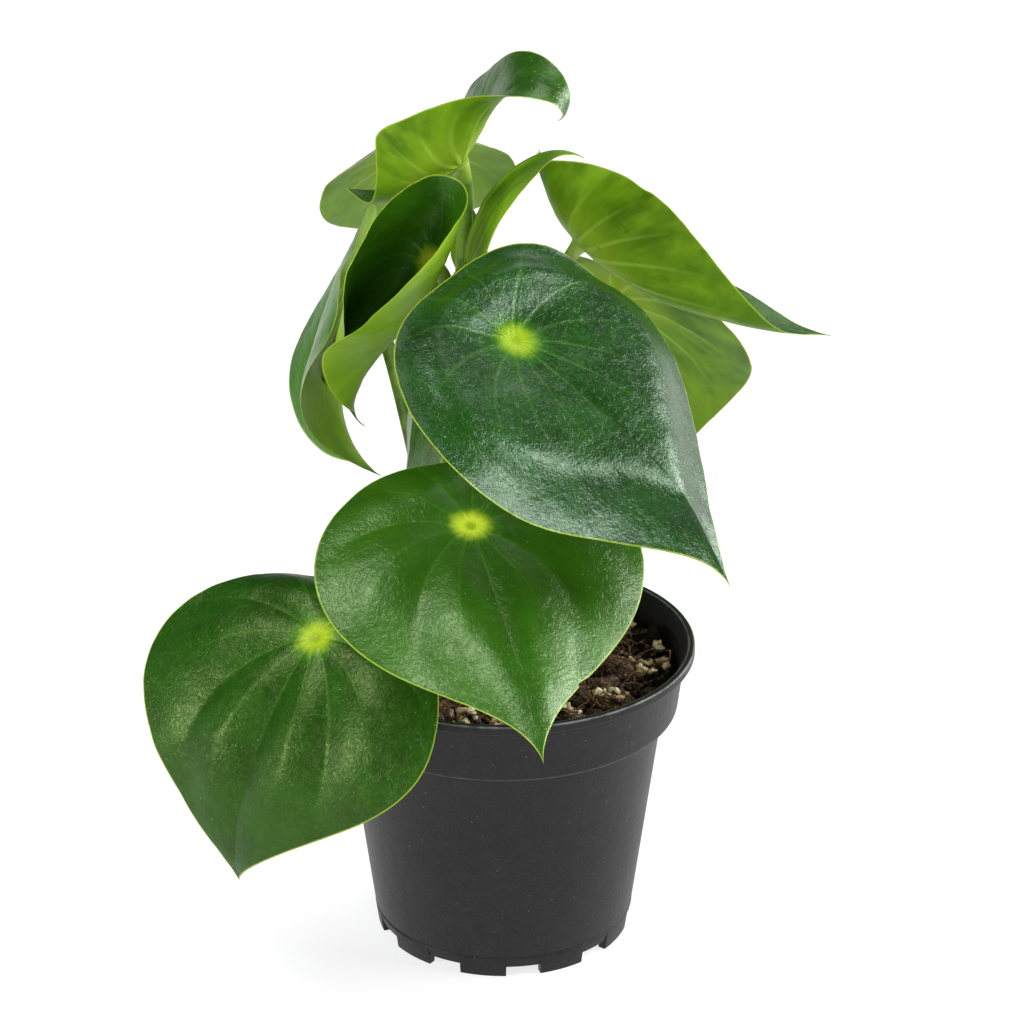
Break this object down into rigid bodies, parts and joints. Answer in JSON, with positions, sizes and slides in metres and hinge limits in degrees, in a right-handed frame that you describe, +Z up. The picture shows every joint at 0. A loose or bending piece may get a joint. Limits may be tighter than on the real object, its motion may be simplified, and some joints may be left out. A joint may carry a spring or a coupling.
{
  "type": "potted owl eye peperomia",
  "caption": "Small potted plant with broad glossy heart-shaped leaves, each with a pale eye over its stalk, in a tapered black nursery pot.",
  "frame": {"origin": "on the pot's axis at the flat pad under the pot's floor, level with the surface it stands on", "axes": "+Z up along the pot's axis, -Y toward the side that the picture faces, +X to that view's right"},
  "size_m": [0.2094, 0.2521, 0.2847],
  "materials": {
    "pot": "satin black injection-moulded plastic with fine scuffs and specks",
    "soil": "rough dark peat and bark with fibres and pale grit",
    "stem": "smooth green plant stem",
    "leaf": "glossy dark green upper face with a yellow-green eye, light green underside, thin yellow-green margin"
  },
  "bodies": {
    "root": {"pot": "pot", "soil": "soil", "stem_main": "stem", "leaf_front_large": "leaf", "leaf_front_middle": "leaf", "leaf_front_left": "leaf", "leaf_top": "leaf", "leaf_right": "leaf", "leaf_arching": "leaf", "leaf_right_rear": "leaf", "leaf_rear_low": "leaf", "leaf_rear_high": "leaf", "leaf_dark_folded": "leaf", "leaf_left_folded": "leaf", "leaf_inner_long": "leaf", "leaf_inner_small": "leaf"}
  },
  "joints": []
}
